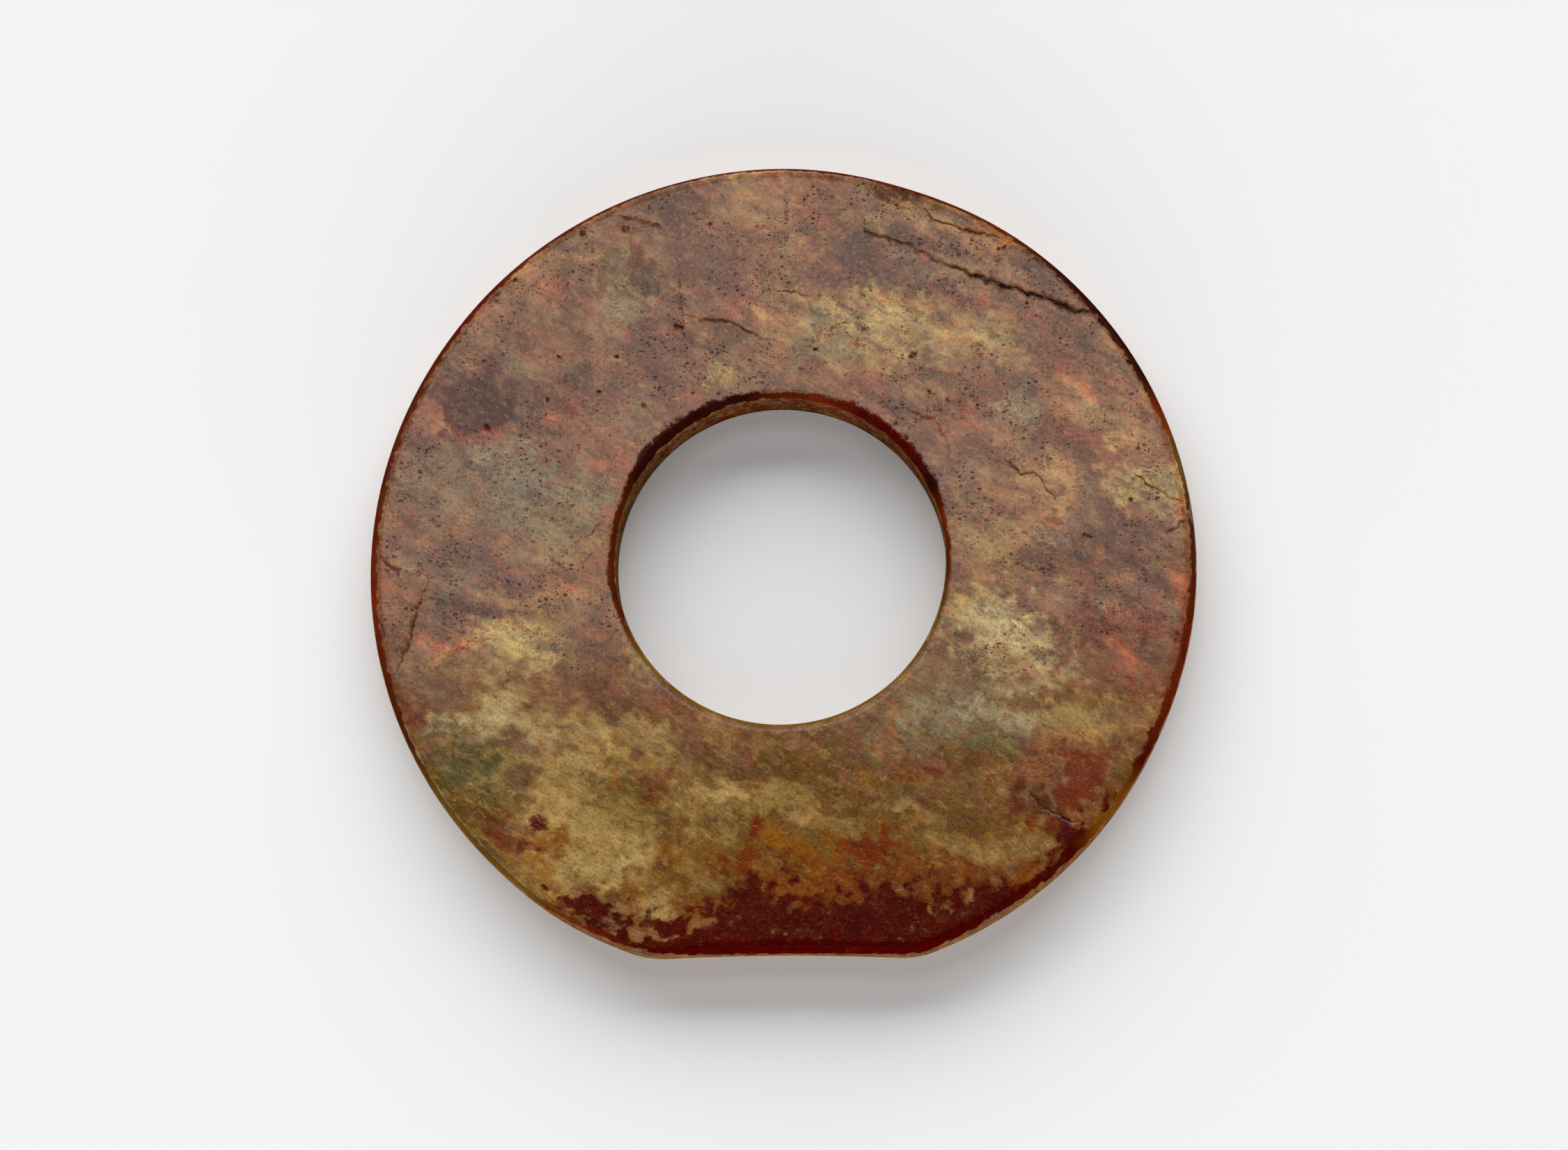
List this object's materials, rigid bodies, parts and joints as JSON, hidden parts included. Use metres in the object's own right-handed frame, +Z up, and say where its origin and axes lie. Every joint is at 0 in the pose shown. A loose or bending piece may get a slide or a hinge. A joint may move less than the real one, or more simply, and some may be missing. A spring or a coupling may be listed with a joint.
{
  "type": "jade bi disc",
  "caption": "Flat polished ring of mottled brown and green jade with a wide central hole, softly rounded edges and one short flat on its rim; lies flat or hangs on a cord.",
  "frame": {"origin": "middle of the disc's outline, on the plane that its underside rests on; the bore's axis passes within 1 mm of it", "axes": "+Z up out of the polished face, along the bore; +X across the disc, parallel to the flat on the rim; +Y from the flat towards the opposite side of the rim"},
  "size_m": [0.13, 0.1264, 0.01],
  "materials": {
    "nephrite": "satin"
  },
  "bodies": {
    "root": {"jade_disc": "nephrite"}
  },
  "joints": []
}
